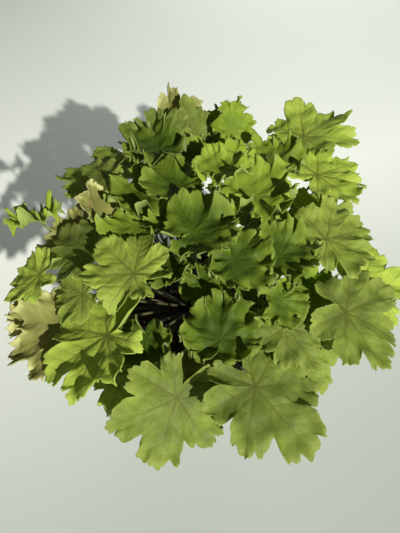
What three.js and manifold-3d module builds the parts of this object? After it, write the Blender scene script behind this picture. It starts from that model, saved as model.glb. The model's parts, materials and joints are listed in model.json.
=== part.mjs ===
// A heuchera in its nursery pot: a loose mound of lobed lime-green leaves, each on a thin stalk that
// grows from a short woody crown set in potting soil. Millimetres, +Z up; the origin is the centre of
// the pot's flat base, and -Y is the front of the plant.
import * as THREE from 'three';
import { mergeVertices } from 'three/addons/utils/BufferGeometryUtils.js';
import Module from 'manifold-3d';

const wasm = await Module();
wasm.setup();

// The pot
const POT_HEIGHT = 135;
const POT_RIM_RADIUS = 85;
const POT_BASE_RADIUS = 62;
const POT_WALL = 1.8;
const RIM_ROLL = 3.2;
const RIM_BAND = 11;
const POT_SIDES = 30;
const DRAIN_COUNT = 8;
const DRAIN_RADIUS = 4.5;
const DRAIN_RING = 46;
const DRAIN_SIDES = 10;
const POT_EDGE = 1.5;
const LIP_EDGE = 2;
const LIP_ROUND = 0.3 * LIP_EDGE;
const POT_COLOR = 0x2b2f2c;

// The soil and the crown
const SOIL_BELOW_RIM = 15;
const SEAT_GAP = 0.3;
const SOIL_TOP = POT_HEIGHT - SOIL_BELOW_RIM;
const SOIL_SHOULDER = { radius: 60, drop: 1, edgeDrop: 2 };
const SOIL_FLAT_RADIUS = 40;
const CROWN_RADIUS = 17;
const CROWN_FOOT_RADIUS = 13;
const CROWN_TAPER = 6;
const CROWN_DEPTH = 24;
const CROWN_RISE = 15;
const CROWN_SHOULDER = 3;
const CROWN_DOME = [[0.86, 0.55], [0.5, 0.9], [0, 1]];
const CROWN_SIDES = 14;
const SOIL_COLOR = 0x2a211a;
const STALK_COLOR = 0x6b6a3a;

// The mound of foliage: its top over the crown, and how far its skirt falls at the full radius
const MOUND_TOP = 262;
const MOUND_RADIUS = 180;
const SKIRT_DROP = 72;
const FRONT_DROP = 62;
const LAYER_STEP = 15;
const BLADE_SLOPE = 0.55;

// The stalks
const STALK_RADIUS = 1.4;
const STALK_SIDES = 4;
const STALK_STEPS = 5;
const STALK_NECK = 16;
const STALK_RISE = 0.45;
const INNER_STALK_SLOPE = 80;
const OUTER_STALK_SLOPE = 25;
const STALK_RING = 0.7 * CROWN_RADIUS;
const LOWEST_ROOT = 0.1 * CROWN_RISE;
const ROOT_SPREAD = 0.5 * CROWN_RISE;

// The blades
const BLADE_THICKNESS = 0.75;
const LOBE_BEARINGS = [-142, -96, -48, 0, 48, 96, 142];
const LOBE_REACHES = [0.64, 0.79, 0.9, 1, 0.9, 0.79, 0.64];
const SINUS_BEARINGS = [-165, -119, -72, -24, 24, 72, 119, 165];
const SINUS_REACHES = [0.54, 0.58, 0.67, 0.71, 0.71, 0.67, 0.58, 0.54];
const BASE_BEARING = SINUS_BEARINGS.at(-1);
const BASE_REACH = 0.16;
const LOBE_ROUNDNESS = 2.8;
const TOOTH_SHARPNESS = 0.6;
const UNEVENNESS = 0.1;
const LOBE_SKEW = 8;
const NOTCH_SHAPE = 0.7;
const HEART = 0.1;
const SWING = 0.35;

// The rings of points that a blade's faces pass through, as shares of the way to its edge, and where
// on each side of a lobe its edge has points; a small leaf has fewer of both
const SMALL_LEAF = 40;
const MIDDLE_RING = 0.62;
const SMALL_MIDDLE_RING = 0.5;
const INNER_RING = 0.28;
const SIDE_POINTS = [1 / 3, 2 / 3];
const SMALL_SIDE_POINTS = [0.55];

// What sets the kinds of leaf apart: how far each one droops, cups, folds and waves, as shares of the
// blade's size, how full its blade is between the lobes, how deep its teeth are, and its colour
const KINDS = {
  broad: {
    droop: 0.12, cup: 0.04, fold: 0.04, wave: 0.04, ruffle: 0.09, waves: 5, fullness: 0.93, teeth: 0.12,
    color: 0x9bb03c,
  },
  frilled: {
    droop: 0.06, cup: 0.24, fold: 0.04, wave: 0.05, ruffle: 0.16, waves: 6, fullness: 1.1, teeth: 0.09,
    color: 0x7f9a2e,
  },
  old: {
    droop: 0.1, cup: 0.16, fold: 0.16, wave: 0.04, ruffle: 0.12, waves: 4, fullness: 1.04, teeth: 0.1,
    color: 0x9a9650,
  },
};

// Each leaf: its kind, the bearing and reach of its stalk's end from the crown, its size from the
// stalk to the tip, its turn from straight outward, its lift above the mound's slope, its bank, left
// side up, and how many layers down it lies. Bearings and turns are in degrees, anticlockwise from +X
// seen from above.
const LEAVES = [
  { kind: 'broad', bearing: -73, reach: 134, size: 56, turn: 26, lift: 8, bank: -14 },
  { kind: 'broad', bearing: -97, reach: 136, size: 53, turn: -12, lift: -2, bank: -30 },
  { kind: 'broad', bearing: -125, reach: 119, size: 57, turn: -36, bank: 24 },
  { kind: 'broad', bearing: -128, reach: 80, size: 44, turn: -94, lift: 4, bank: 12 },
  { kind: 'broad', bearing: -168, reach: 100, size: 42, turn: -10, layer: 0.8 },
  { kind: 'broad', bearing: -32, reach: 135, size: 56, turn: 22 },
  { kind: 'broad', bearing: -10, reach: 106, size: 50, turn: 45, lift: 6 },
  { kind: 'broad', bearing: 31, reach: 130, size: 58, turn: 8, lift: 8 },
  { kind: 'broad', bearing: 46, reach: 150, size: 56, turn: -12, lift: 32, layer: -0.5 },
  { kind: 'old', bearing: 102, reach: 118, size: 38, turn: 0, lift: 62, layer: -0.6, bank: 40 },
  { kind: 'broad', bearing: 95, reach: 101, size: 34, turn: 0, lift: 58, layer: -0.5, bank: 30 },
  { kind: 'frilled', bearing: 74, reach: 110, size: 29, turn: 5, lift: 50, layer: -0.6, bank: 30 },
  { kind: 'broad', bearing: 113, reach: 84, size: 43, turn: 0, lift: 42, layer: -0.1 },
  { kind: 'frilled', bearing: -98, reach: 37, size: 40, turn: 125, lift: 8 },
  { kind: 'frilled', bearing: 0, reach: 44, size: 40, turn: 60, lift: 10, layer: -0.3 },
  { kind: 'frilled', bearing: 55, reach: 48, size: 34, turn: 20, lift: 12, layer: -0.5 },
  { kind: 'frilled', bearing: -38, reach: 77, size: 33, turn: 60, lift: 12 },
  { kind: 'frilled', bearing: 150, reach: 22, size: 34, turn: -30, lift: 10, layer: -0.4 },
  { kind: 'broad', bearing: 2, reach: 62, size: 48, turn: 20, layer: 1 },
  { kind: 'frilled', bearing: -82, reach: 106, size: 36, turn: 170, lift: -6, layer: 0.3 },
  { kind: 'frilled', bearing: 40, reach: 14, size: 30, turn: 10, lift: 14, layer: -0.6 },
  { kind: 'broad', bearing: -14, reach: 146, size: 52, turn: 20, lift: 5, layer: 0.6 },
  { kind: 'broad', bearing: -55, reach: 110, size: 39, turn: -5, layer: 0.6 },
  { kind: 'frilled', bearing: -66, reach: 60, size: 34, turn: 30, layer: 0.2 },
  { kind: 'frilled', bearing: 166, reach: 44, size: 38, turn: -10 },
  { kind: 'frilled', bearing: -174, reach: 48, size: 29, turn: 0, lift: 8, layer: 0.4 },
  { kind: 'old', bearing: 178, reach: 86, size: 25, turn: -80, lift: 52, bank: 60 },
  { kind: 'broad', bearing: -147, reach: 112, size: 30, turn: -30, layer: 0.9 },
  { kind: 'broad', bearing: -164, reach: 136, size: 34, turn: -25, layer: 0.2 },
  { kind: 'old', bearing: -146, reach: 140, size: 48, turn: -20, layer: 0.9 },
  { kind: 'broad', bearing: 152, reach: 104, size: 42, turn: 5, lift: 5 },
  { kind: 'broad', bearing: 138, reach: 112, size: 38, turn: -5, lift: 14 },
  { kind: 'frilled', bearing: 170, reach: 150, size: 32, turn: -10, bank: 26 },
  { kind: 'broad', bearing: -116, reach: 132, size: 38, turn: -5, lift: -14, layer: 1 },
  { kind: 'frilled', bearing: 44, reach: 96, size: 34, turn: 10, lift: 12 },
  { kind: 'frilled', bearing: 90, reach: 50, size: 30, turn: 0, lift: 16 },
  { kind: 'broad', bearing: 68, reach: 118, size: 48, turn: 8, lift: -16, layer: 1.6 },
  { kind: 'frilled', bearing: 120, reach: 56, size: 36, turn: 5, lift: 8 },
  { kind: 'frilled', bearing: -86, reach: 66, size: 27, turn: 40, layer: 1.6 },
  { kind: 'frilled', bearing: -70, reach: 84, size: 30, turn: -20, layer: 1.6 },
  { kind: 'frilled', bearing: -113, reach: 110, size: 28, turn: 20, layer: 0.8 },
  { kind: 'frilled', bearing: -56, reach: 98, size: 24, turn: -40, layer: 1.4 },
  { kind: 'frilled', bearing: -120, reach: 54, size: 30, turn: 10, layer: 1.2 },
  { kind: 'broad', bearing: 134, reach: 120, size: 46, turn: -8, lift: -16, layer: 1.6 },
  { kind: 'frilled', bearing: -28, reach: 102, size: 32, turn: 20, layer: 1 },
  { kind: 'old', bearing: 174, reach: 124, size: 34, turn: 10, layer: 0.8 },
  { kind: 'old', bearing: -154, reach: 150, size: 24, turn: 0, lift: 6, layer: -0.6 },
  { kind: 'old', bearing: -110, reach: 124, size: 44, turn: -5, layer: 2.2 },
  { kind: 'old', bearing: -92, reach: 112, size: 30, turn: 10, layer: 1.6 },
  { kind: 'broad', bearing: -47, reach: 124, size: 40, turn: -5, lift: -10, layer: 1.6 },
  { kind: 'frilled', bearing: 82, reach: 124, size: 30, turn: 10, lift: 46, layer: 0.8 },
  { kind: 'broad', bearing: 14, reach: 108, size: 50, turn: -10, layer: 1.6 },
  { kind: 'broad', bearing: 62, reach: 98, size: 56, turn: 5, lift: 6, layer: 3.8 },
  { kind: 'broad', bearing: 122, reach: 98, size: 56, turn: -10, lift: 6, layer: 3.8 },
  { kind: 'frilled', bearing: -150, reach: 30, size: 22, turn: -20, layer: 1 },
  { kind: 'broad', bearing: 98, reach: 116, size: 48, turn: 0, lift: -14, layer: 2.2 },
  { kind: 'old', bearing: 160, reach: 94, size: 46, turn: 0, lift: 4, layer: 3.6 },
];

// How a leaf that would touch its neighbours is shifted, at the most, and how often it is tried
const LEAF_GAP = 0.5;
const ATTEMPTS = 900;
const SHIFT = { bearing: 10, reach: 18, turn: 26, lift: 24, bank: 26, layer: 2 };

const radians = THREE.MathUtils.degToRad;
const unit = (degrees) => new THREE.Vector2(Math.cos(radians(degrees)), Math.sin(radians(degrees)));

// A number from 0 to 1 that is always the same for the same seed
function seeded(seed) {
  const spread = Math.sin(seed * 12.9898) * 43758.5453;
  return spread - Math.floor(spread);
}

// A geometry with its shared vertices merged, so that it is one closed skin
function closedGeometry(geometry) {
  geometry.deleteAttribute('normal');
  geometry.deleteAttribute('uv');
  return mergeVertices(geometry, 1e-4);
}

function solidFrom(geometry) {
  const vertProperties = new Float32Array(geometry.attributes.position.array);
  const triVerts = new Uint32Array(geometry.index.array);
  return new wasm.Manifold(new wasm.Mesh({ numProp: 3, vertProperties, triVerts }));
}

function geometryFrom(solid) {
  const mesh = solid.getMesh();
  const geometry = new THREE.BufferGeometry();
  geometry.setAttribute('position', new THREE.BufferAttribute(mesh.vertProperties, 3));
  geometry.setIndex(new THREE.BufferAttribute(mesh.triVerts, 1));
  return geometry;
}

function latheAboutZ(profile, sides) {
  const points = profile.map(([radius, height]) => new THREE.Vector2(radius, height));
  return closedGeometry(new THREE.LatheGeometry(points, sides).rotateX(Math.PI / 2));
}

// The inner radius of the pot at a height
function potInside(height) {
  const share = height / POT_HEIGHT;
  const outside = POT_BASE_RADIUS + (POT_RIM_RADIUS - RIM_ROLL - POT_BASE_RADIUS) * share;
  return outside - POT_WALL;
}

// A tapered cup with a stiffening band and a rolled lip, and drain holes round its floor
function makePot() {
  const bandFoot = POT_HEIGHT - RIM_BAND;
  const cup = latheAboutZ([
    [0, 0],
    [POT_BASE_RADIUS - POT_EDGE, 0],
    [POT_BASE_RADIUS, POT_EDGE],
    [potInside(bandFoot) + POT_WALL, bandFoot],
    [POT_RIM_RADIUS - LIP_EDGE / 2, bandFoot + LIP_EDGE / 2],
    [POT_RIM_RADIUS, POT_HEIGHT - LIP_EDGE],
    [POT_RIM_RADIUS - LIP_EDGE / 2, POT_HEIGHT],
    [potInside(POT_HEIGHT) + LIP_ROUND, POT_HEIGHT],
    [potInside(POT_HEIGHT - LIP_EDGE), POT_HEIGHT - LIP_EDGE],
    [potInside(POT_WALL), POT_WALL],
    [0, POT_WALL],
  ], POT_SIDES);
  let solid = solidFrom(cup);
  for (let drain = 0; drain < DRAIN_COUNT; drain += 1) {
    const place = unit((360 * (drain + 0.5)) / DRAIN_COUNT).multiplyScalar(DRAIN_RING);
    const bore = new THREE.CylinderGeometry(DRAIN_RADIUS, DRAIN_RADIUS, 4 * POT_WALL, DRAIN_SIDES);
    const cutter = closedGeometry(bore.rotateX(Math.PI / 2).translate(place.x, place.y, 0));
    solid = solid.subtract(solidFrom(cutter));
  }
  return geometryFrom(solid);
}

// A plug that fills the pot, a little domed, with a plain well for the crown
function makeSoil() {
  const floor = POT_WALL + SEAT_GAP;
  const edgeTop = SOIL_TOP - SOIL_SHOULDER.edgeDrop;
  const wellRadius = CROWN_RADIUS + SEAT_GAP;
  const wellFloor = SOIL_TOP - CROWN_DEPTH;
  return latheAboutZ([
    [0, floor],
    [potInside(floor) - SEAT_GAP, floor],
    [potInside(edgeTop) - SEAT_GAP, edgeTop],
    [SOIL_SHOULDER.radius, SOIL_TOP - SOIL_SHOULDER.drop],
    [SOIL_FLAT_RADIUS, SOIL_TOP],
    [wellRadius, SOIL_TOP],
    [wellRadius, wellFloor],
    [0, wellFloor],
  ], POT_SIDES);
}

// The stock that stands in the well and swells into a low dome above the soil
function makeCrownStock() {
  const foot = SOIL_TOP - CROWN_DEPTH + SEAT_GAP;
  return latheAboutZ([
    [0, foot],
    [CROWN_FOOT_RADIUS, foot],
    [CROWN_RADIUS, foot + CROWN_TAPER],
    [CROWN_RADIUS, SOIL_TOP + CROWN_SHOULDER],
    ...CROWN_DOME.map(([radius, rise]) => [CROWN_RADIUS * radius, SOIL_TOP + CROWN_RISE * rise]),
  ], CROWN_SIDES);
}

// The lobe that a bearing on the blade falls in, and how far along it is from its axis to its sinus
function lobeAt(bearing) {
  const lobe = SINUS_BEARINGS.findIndex((sinus) => bearing < sinus) - 1;
  const side = bearing < LOBE_BEARINGS[lobe] ? lobe : lobe + 1;
  const halfWidth = Math.abs(SINUS_BEARINGS[side] - LOBE_BEARINGS[lobe]);
  const along = Math.abs(bearing - LOBE_BEARINGS[lobe]) / halfWidth;
  return { along, reach: LOBE_REACHES[lobe], sinus: SINUS_REACHES[side] };
}

// A wave round the blade whose place is drawn from the leaf's seed
function leafWave(seed, draw, waves, bearing) {
  return Math.sin(waves * radians(bearing) + 2 * Math.PI * seeded(seed + draw));
}

// The outline of a blade: round lobes with a tooth on each shoulder, a notch at the stalk, and some
// lobes a little longer than others
function outlineReach(kind, seed, bearing) {
  const turned = Math.abs(bearing);
  const uneven = 1 + (UNEVENNESS / 2) * (leafWave(seed, 0.2, 2, bearing) + leafWave(seed, 0.7, 3, bearing));
  if (turned >= BASE_BEARING) {
    const share = Math.pow((turned - BASE_BEARING) / (180 - BASE_BEARING), NOTCH_SHAPE);
    const side = kind.fullness * SINUS_REACHES.at(-1) * (1 - kind.teeth);
    return uneven * (side * (1 - share) + BASE_REACH * share);
  }
  const { along, reach, sinus } = lobeAt(bearing);
  const between = kind.fullness * sinus;
  const lobed = between + (reach - between) * (1 - Math.pow(along, LOBE_ROUNDNESS));
  const tooth = Math.pow(Math.abs(Math.cos(1.5 * Math.PI * along)), TOOTH_SHARPNESS);
  return uneven * lobed * (1 - kind.teeth * (1 - tooth));
}

// Where a bearing on the blade ends up, as its lobes stand a little unevenly round it
function skewed(seed, bearing) {
  return bearing + LOBE_SKEW * leafWave(seed, 0.3, 1, bearing);
}

// The height of a blade's middle surface, as a share of its size, at a bearing and a share of the
// way to its edge: it droops, cups and folds as a whole, its lobes arch, and its edge is ruffled
function bladeHeight(kind, seed, bearing, share) {
  const reach = share * outlineReach(kind, seed, bearing);
  const forward = reach * Math.cos(radians(bearing));
  const aside = reach * Math.sin(radians(bearing));
  const lobeArch = Math.abs(bearing) < BASE_BEARING ? Math.cos(Math.PI * lobeAt(bearing).along) : -1;
  const swing = 1 - SWING + SWING * leafWave(seed, 0.5, 2, bearing);
  const ruffle = leafWave(seed, 0, kind.waves, bearing) * swing;
  return kind.cup * reach * reach
    - kind.droop * forward * Math.abs(forward)
    + kind.fold * (Math.hypot(aside, HEART) - HEART)
    - kind.wave * lobeArch * share * share
    + kind.ruffle * ruffle * share * share * share;
}

// The bearings on the blade that its rings of points pass through, for a large or a small leaf
function ringBearings(small) {
  const steps = small ? SMALL_SIDE_POINTS : SIDE_POINTS;
  const edge = [180];
  LOBE_BEARINGS.forEach((axis, lobe) => {
    edge.push(axis, SINUS_BEARINGS[lobe]);
    for (const step of steps) {
      edge.push(axis + (SINUS_BEARINGS[lobe] - axis) * step);
      edge.push(axis + (SINUS_BEARINGS[lobe + 1] - axis) * step);
    }
  });
  edge.push(SINUS_BEARINGS.at(-1));
  const middle = [...LOBE_BEARINGS, ...SINUS_BEARINGS, 180];
  const inner = [...LOBE_BEARINGS, 180];
  const ascending = (a, b) => a - b;
  return [edge.sort(ascending), middle.sort(ascending), inner.sort(ascending)];
}

// Joins two rings of points, each sorted by bearing, with one strip of triangles
function zipRings(outer, inner) {
  const triangles = [];
  const spotAt = (ring, i) => ring[i % ring.length];
  const bearingAt = (ring, i) => spotAt(ring, i).bearing + (i < ring.length ? 0 : 360);
  let i = 0;
  let j = 0;
  while (i < outer.length || j < inner.length) {
    const outerLeads = bearingAt(outer, i + 1) <= bearingAt(inner, j + 1);
    const outerSteps = j === inner.length || (i < outer.length && outerLeads);
    const next = outerSteps ? spotAt(outer, i + 1) : spotAt(inner, j + 1);
    triangles.push([spotAt(outer, i).id, next.id, spotAt(inner, j).id]);
    if (outerSteps) {
      i += 1;
    } else {
      j += 1;
    }
  }
  return triangles;
}

// The same triangles on both faces of a sheet, an even thickness apart, and a rim round its edge
function thicken(points, triangles, edge, heart) {
  const sheet = new THREE.BufferGeometry().setFromPoints(points);
  sheet.setIndex(triangles.flat());
  sheet.computeVertexNormals();
  const { normal } = sheet.attributes;
  normal.setXYZ(heart, 0, 0, 1);
  const shifted = (distance) => points.map((point, i) => (
    new THREE.Vector3().fromBufferAttribute(normal, i).multiplyScalar(distance).add(point)));
  const under = points.length;
  const faces = [...triangles];
  triangles.forEach(([a, b, c]) => faces.push([a + under, c + under, b + under]));
  edge.forEach(({ id }, i) => {
    const next = edge[(i + 1) % edge.length].id;
    faces.push([id, id + under, next + under], [id, next + under, next]);
  });
  const half = BLADE_THICKNESS / 2;
  const blade = new THREE.BufferGeometry().setFromPoints([...shifted(half), ...shifted(-half)]);
  blade.setIndex(faces.flat());
  return blade;
}

// One blade, lying flat with its stalk's end at the origin and its tip along +X
function makeBlade(kind, size, seed) {
  const points = [];
  const ring = (bearings, share) => bearings.map((bearing) => {
    const reach = size * share * outlineReach(kind, seed, bearing);
    const place = unit(skewed(seed, bearing)).multiplyScalar(reach);
    const height = size * bladeHeight(kind, seed, bearing, share);
    points.push(new THREE.Vector3(place.x, place.y, height));
    return { bearing, id: points.length - 1 };
  });
  const small = size < SMALL_LEAF;
  const [edgeBearings, middleBearings, innerBearings] = ringBearings(small);
  const edge = ring(edgeBearings, 1);
  const middle = ring(middleBearings, small ? SMALL_MIDDLE_RING : MIDDLE_RING);
  const inner = small ? middle : ring(innerBearings, INNER_RING);
  points.push(new THREE.Vector3(0, 0, 0));
  const heart = points.length - 1;
  const fan = inner.map(({ id }, i) => [id, inner[(i + 1) % inner.length].id, heart]);
  const innerStrip = small ? [] : zipRings(middle, inner);
  return thicken(points, [...zipRings(edge, middle), ...innerStrip, ...fan], edge, heart);
}

// A point of the mound's surface, at a bearing and a reach from the crown
function moundPoint(bearing, reach) {
  const drop = SKIRT_DROP - FRONT_DROP * Math.sin(radians(bearing));
  const flat = unit(bearing).multiplyScalar(reach);
  return new THREE.Vector3(flat.x, flat.y, MOUND_TOP - drop * Math.pow(reach / MOUND_RADIUS, 2));
}

// Where a blade sits: on the mound's surface or some layers below it, turned and lifted from the
// slope there. Later attempts shift it further, by draws seeded with the leaf's own number
function leafMatrix(row, number, attempt) {
  const amount = attempt / ATTEMPTS;
  const shift = (name, order) => {
    const draw = 2 * seeded(number * 31 + attempt * 7 + order) - 1;
    return attempt === 0 ? 0 : SHIFT[name] * Math.sqrt(amount) * draw;
  };
  const bearing = row.bearing + shift('bearing', 1);
  const reach = row.reach + shift('reach', 2);
  const spot = moundPoint(bearing, reach);
  const outward = moundPoint(bearing, reach + 1).sub(moundPoint(bearing, reach - 1));
  const around = moundPoint(bearing + 1, reach).sub(moundPoint(bearing - 1, reach));
  outward.z *= BLADE_SLOPE;
  around.z *= BLADE_SLOPE;
  const normal = outward.normalize().clone().cross(around).normalize();
  const turn = radians(row.turn + shift('turn', 3));
  const lift = radians((row.lift ?? 0) + shift('lift', 4));
  const heading = outward.clone().applyAxisAngle(normal, turn);
  const side = normal.clone().cross(heading).normalize();
  heading.applyAxisAngle(side, -lift);
  side.applyAxisAngle(heading, radians((row.bank ?? 0) + shift('bank', 5)));
  const upper = heading.clone().cross(side).normalize();
  spot.addScaledVector(normal, -LAYER_STEP * ((row.layer ?? 0) + shift('layer', 6)));
  return new THREE.Matrix4().makeBasis(heading, side, upper).setPosition(spot);
}

// Where a stalk leaves the crown: high on the dome for the inner leaves, low on its side for the
// outer ones, always on the side that its leaf is on
function stalkRoot(bladeSpot) {
  const outward = new THREE.Vector2(bladeSpot.x, bladeSpot.y);
  const share = Math.min(1, outward.length() / MOUND_RADIUS);
  const slope = radians(THREE.MathUtils.lerp(INNER_STALK_SLOPE, OUTER_STALK_SLOPE, share));
  outward.normalize().multiplyScalar(Math.cos(slope));
  const direction = new THREE.Vector3(outward.x, outward.y, Math.sin(slope));
  const start = direction.clone().multiplyScalar(STALK_RING);
  start.z = SOIL_TOP + LOWEST_ROOT + ROOT_SPREAD * Math.sin(slope);
  return { start, direction };
}

// A stalk that rises from the crown, arches over and meets the blade square on from below
function makeStalk(matrix) {
  const spot = new THREE.Vector3().setFromMatrixPosition(matrix);
  const upper = new THREE.Vector3().setFromMatrixColumn(matrix, 2);
  const end = spot.clone().addScaledVector(upper, -(BLADE_THICKNESS / 2 + SEAT_GAP));
  const { start, direction } = stalkRoot(spot);
  const span = start.distanceTo(end);
  const rise = start.clone().addScaledVector(direction, span * STALK_RISE);
  const neck = end.clone().addScaledVector(upper, -STALK_NECK);
  const path = new THREE.CubicBezierCurve3(start, rise, neck, end);
  const section = new THREE.Shape();
  for (let side = 0; side < STALK_SIDES; side += 1) {
    const corner = unit((360 * side) / STALK_SIDES).multiplyScalar(STALK_RADIUS);
    section[side === 0 ? 'moveTo' : 'lineTo'](corner.x, corner.y);
  }
  section.closePath();
  return closedGeometry(new THREE.ExtrudeGeometry(section, { steps: STALK_STEPS, extrudePath: path }));
}

// A solid with the box round it, which tells quickly what is nowhere near
function withBox(solid) {
  const { min, max } = solid.boundingBox();
  return { solid, box: new THREE.Box3(new THREE.Vector3(...min), new THREE.Vector3(...max)) };
}

// Whether a solid keeps the leaf gap to every other one
function isClear(part, others) {
  const room = part.box.clone().expandByScalar(LEAF_GAP);
  const near = others.filter(({ box }) => room.intersectsBox(box));
  return near.every(({ solid }) => part.solid.minGap(solid, LEAF_GAP) >= LEAF_GAP);
}

// Grows one leaf clear of those grown before it, at its own place or as near to it as there is room
function growLeaf(row, number, blades, stalks, standing) {
  const shape = makeBlade(KINDS[row.kind], row.size, number);
  const potAndSoil = standing.slice(0, 2);
  for (let attempt = 0; attempt < ATTEMPTS; attempt += 1) {
    const matrix = leafMatrix(row, number, attempt);
    const blade = withBox(solidFrom(shape.clone().applyMatrix4(matrix)));
    const stalk = withBox(solidFrom(makeStalk(matrix)));
    if (isClear(blade, [...standing, ...blades, ...stalks]) && isClear(stalk, [...blades, ...potAndSoil])) {
      blades.push({ ...blade, kind: row.kind });
      stalks.push(stalk);
      return;
    }
    blade.solid.delete();
    stalk.solid.delete();
  }
  throw new Error(`leaf ${number} has no room`);
}

const potGeometry = makePot();
const soilGeometry = makeSoil();
const stock = solidFrom(makeCrownStock());
const standing = [solidFrom(potGeometry), solidFrom(soilGeometry), stock].map(withBox);
const blades = [];
const stalks = [];
LEAVES.forEach((row, i) => growLeaf(row, i + 1, blades, stalks, standing));
const crown = wasm.Manifold.union([stock, ...stalks.map(({ solid }) => solid)]);

function addMesh(group, name, geometry, color, roughness) {
  const material = new THREE.MeshStandardMaterial({ color, roughness, metalness: 0 });
  const mesh = new THREE.Mesh(geometry, material);
  mesh.name = name;
  group.add(mesh);
}

const plant = new THREE.Group();
addMesh(plant, 'pot', potGeometry, POT_COLOR, 0.55);
addMesh(plant, 'soil', soilGeometry, SOIL_COLOR, 1);
addMesh(plant, 'crown', geometryFrom(crown), STALK_COLOR, 0.7);
blades.forEach(({ kind, solid }, i) => {
  const name = `leaf_${String(i + 1).padStart(2, '0')}`;
  addMesh(plant, name, geometryFrom(solid), KINDS[kind].color, 0.6);
});

export default plant;
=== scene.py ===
"""A heuchera in its nursery pot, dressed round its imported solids. Metres, +Z up, and -Y is the front."""
import itertools
import json
import math

import bmesh
import bpy
import numpy as np
from mathutils.bvhtree import BVHTree
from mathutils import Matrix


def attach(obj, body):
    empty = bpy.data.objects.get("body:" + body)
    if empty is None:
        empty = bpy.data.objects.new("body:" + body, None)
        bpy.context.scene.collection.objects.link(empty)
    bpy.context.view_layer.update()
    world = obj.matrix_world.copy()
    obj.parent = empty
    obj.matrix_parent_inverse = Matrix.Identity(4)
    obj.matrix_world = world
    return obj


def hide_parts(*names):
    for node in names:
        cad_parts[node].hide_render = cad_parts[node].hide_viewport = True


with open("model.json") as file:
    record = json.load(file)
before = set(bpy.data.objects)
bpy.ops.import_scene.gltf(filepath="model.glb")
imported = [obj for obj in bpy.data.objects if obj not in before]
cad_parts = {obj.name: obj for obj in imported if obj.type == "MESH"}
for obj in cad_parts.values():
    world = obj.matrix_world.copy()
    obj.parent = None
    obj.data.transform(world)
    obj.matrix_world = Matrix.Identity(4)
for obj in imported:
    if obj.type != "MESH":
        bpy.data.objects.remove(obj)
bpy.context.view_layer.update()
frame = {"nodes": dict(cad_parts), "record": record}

# ---- The studio --------------------------------------------------------------------------------------
# A pale matt floor that runs far back, a small lamp low in front on the right, a wide dim one over the
# back of the floor, and a camera that looks down on the plant from the front.

CAMERA_PITCH = 44.2

camera = bpy.data.objects.new("camera", bpy.data.cameras.new("camera"))
bpy.context.scene.collection.objects.link(camera)
bpy.context.scene.camera = camera
camera.data.lens = 29.1
camera.data.clip_start = 0.01
camera.location = (0, -0.289, 0.465)
camera.rotation_euler = (math.radians(90 - CAMERA_PITCH), 0, 0)
bpy.context.scene.view_settings.view_transform = "Standard"


def add_lamp(name, spot, target, size, power, color):
    """A square soft lamp at spot that faces target."""
    lamp = bpy.data.lights.new(name, "AREA")
    lamp.size = size
    lamp.energy = power
    lamp.color = color
    held = bpy.data.objects.new(name, lamp)
    bpy.context.scene.collection.objects.link(held)
    held.location = spot
    aim = np.array(target, float) - np.array(spot, float)
    tilt, bearing = math.atan2(math.hypot(aim[0], aim[1]), -aim[2]), math.atan2(aim[0], -aim[1])
    held.rotation_euler = (tilt, 0, bearing + math.pi)


add_lamp("window", spot=(1.15, -2.46, 1.45), target=(0, 0, 0.18), size=0.05, power=195,
         color=(1, 0.98, 0.93))
add_lamp("ceiling", spot=(0.5, 2.3, 1.35), target=(0.4, 2.0, 0), size=1.4, power=14.5,
         color=(0.95, 0.98, 1))

world = bpy.data.worlds.new("room")
world.use_nodes = True
world.node_tree.nodes["Background"].inputs["Color"].default_value = (0.84, 0.88, 0.84, 1)
world.node_tree.nodes["Background"].inputs["Strength"].default_value = 0.15
bpy.context.scene.world = world


def node(tree, kind, inputs=None, **settings):
    """One shader node with its settings. Each input, by name or number, is a value or a socket."""
    made = tree.nodes.new("ShaderNode" + kind)
    for key, value in settings.items():
        setattr(made, key, value)
    for key, value in (inputs or {}).items():
        if isinstance(value, bpy.types.NodeSocket):
            tree.links.new(value, made.inputs[key])
        else:
            made.inputs[key].default_value = value
    return made


def figure(tree, operation, first, second=0.0, third=0.0, clamped=False):
    """The result of one Math node, whose inputs are numbers or sockets."""
    inputs = {0: first, 1: second, 2: third}
    return node(tree, "Math", inputs, operation=operation, use_clamp=clamped).outputs[0]


def mixed(tree, share, first, second):
    """Two colours mixed by a share, which is a number or a mask."""
    inputs = {0: share, 6: first, 7: second}
    return node(tree, "Mix", inputs, data_type="RGBA").outputs[2]


def mask(tree, value, low, high, start=0.0, end=1.0):
    """A smooth step from start to end as the value goes from low to high."""
    inputs = {"Value": value, "From Min": low, "From Max": high, "To Min": start, "To Max": end}
    return node(tree, "MapRange", inputs, interpolation_type="SMOOTHSTEP").outputs[0]


def noise(tree, place, scale, detail=3.0, roughness=0.5):
    """A soft noise from 0 to 1 over a place, with scale patches to the metre."""
    inputs = {"Vector": place, "Scale": scale, "Detail": detail, "Roughness": roughness}
    return node(tree, "TexNoise", inputs).outputs[0]


def bump(tree, height, distance, strength=1.0):
    """The normal of a surface raised by a height, in units of distance."""
    return node(tree, "Bump", {"Height": height, "Distance": distance, "Strength": strength}).outputs[0]


def new_material(name):
    """A material with an empty node tree, and the output node in it."""
    material = bpy.data.materials.new(name)
    material.use_nodes = True
    material.node_tree.nodes.clear()
    return material, material.node_tree, node(material.node_tree, "OutputMaterial")


def new_object(name, points, faces, material):
    """A smooth mesh object of points in metres and groups of faces, each a row of its points' numbers."""
    mesh = bpy.data.meshes.new(name)
    mesh.from_pydata(points.tolist(), [], [face.tolist() for group in faces for face in group])
    mesh.shade_smooth()
    mesh.materials.append(material)
    made = bpy.data.objects.new(name, mesh)
    bpy.context.scene.collection.objects.link(made)
    return made


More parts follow.
